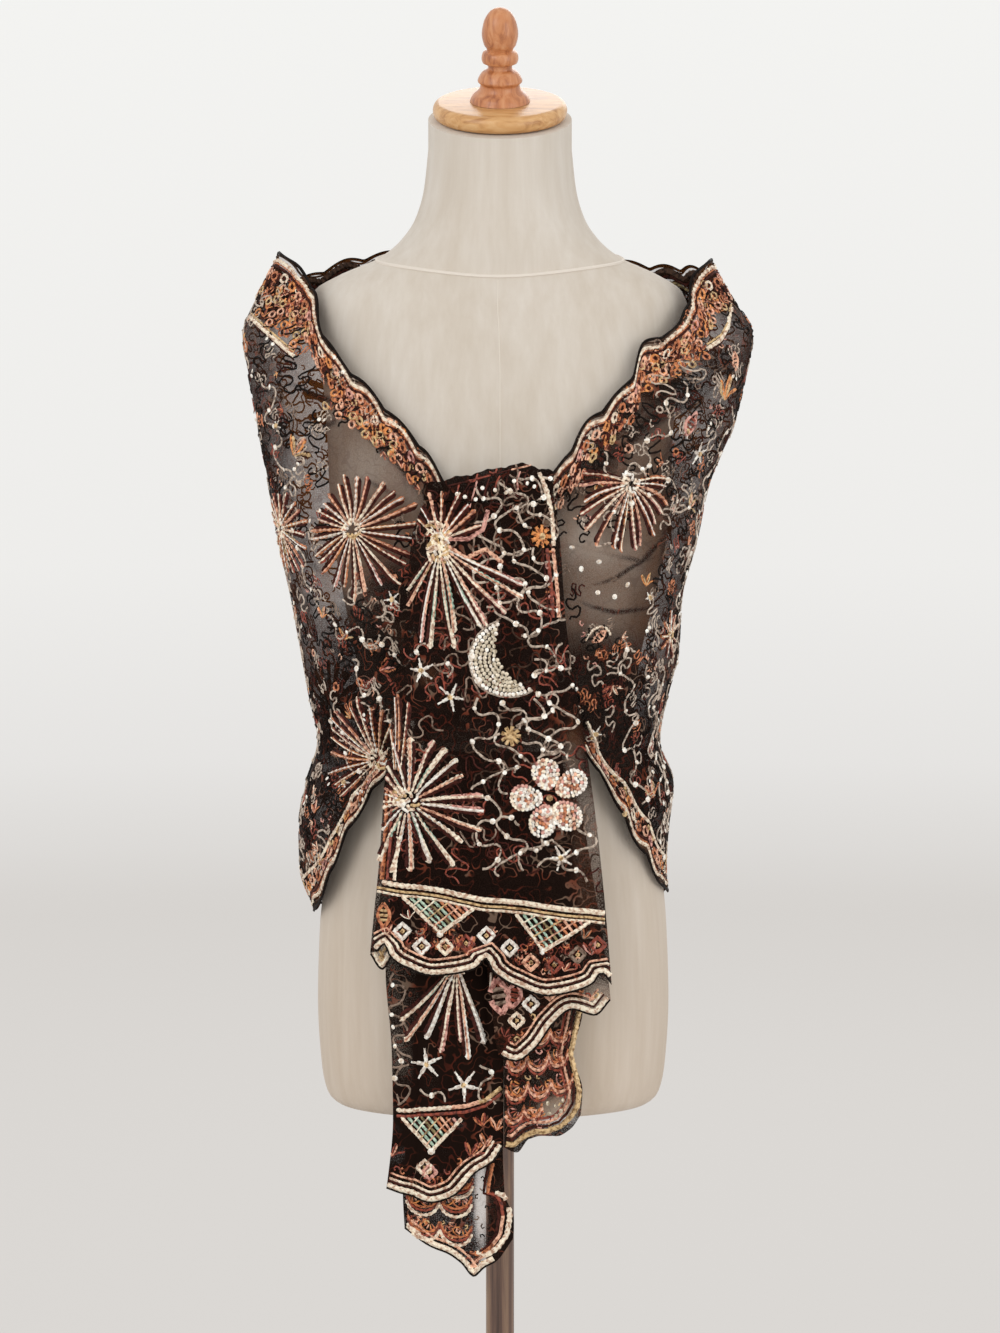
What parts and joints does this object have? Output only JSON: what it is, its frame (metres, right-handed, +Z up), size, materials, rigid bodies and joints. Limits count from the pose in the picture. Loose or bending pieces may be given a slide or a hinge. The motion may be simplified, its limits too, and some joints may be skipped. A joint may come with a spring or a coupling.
{
  "type": "evening stole on limbless dress form",
  "caption": "Sheer black net stole with embroidered bursts and scalloped borders, half-knotted at the front of a limbless linen dress form on a pole stand.",
  "frame": {"origin": "centre of the underside of the round base", "axes": "+Z up along the pole, -Y the way the form faces, +X to the viewer's right"},
  "size_m": [0.4467, 0.36, 1.6195],
  "materials": {
    "embroidered_net": "sheer black net with copper, cream and mint embroidery and sequins",
    "linen": "matt woven linen, warm grey cream",
    "pale_wood": "satin honey pine",
    "orange_wood": "satin orange turned wood",
    "dark_wood": "satin brown wood with upright grain"
  },
  "bodies": {
    "root": {"stole_back_left": "embroidered_net", "stole_back_right": "embroidered_net", "stole_wrap_left": "embroidered_net", "stole_wrap_right": "embroidered_net", "stole_tie_fold": "embroidered_net", "stole_front_panel": "embroidered_net", "stole_front_leaf": "embroidered_net", "stole_tail": "embroidered_net", "stole_tail_ruffle": "embroidered_net", "stole_tail_tip": "embroidered_net", "form_torso": "linen", "form_neck_cap": "pale_wood", "form_finial": "orange_wood", "form_pole": "dark_wood", "form_base": "dark_wood"}
  },
  "joints": []
}
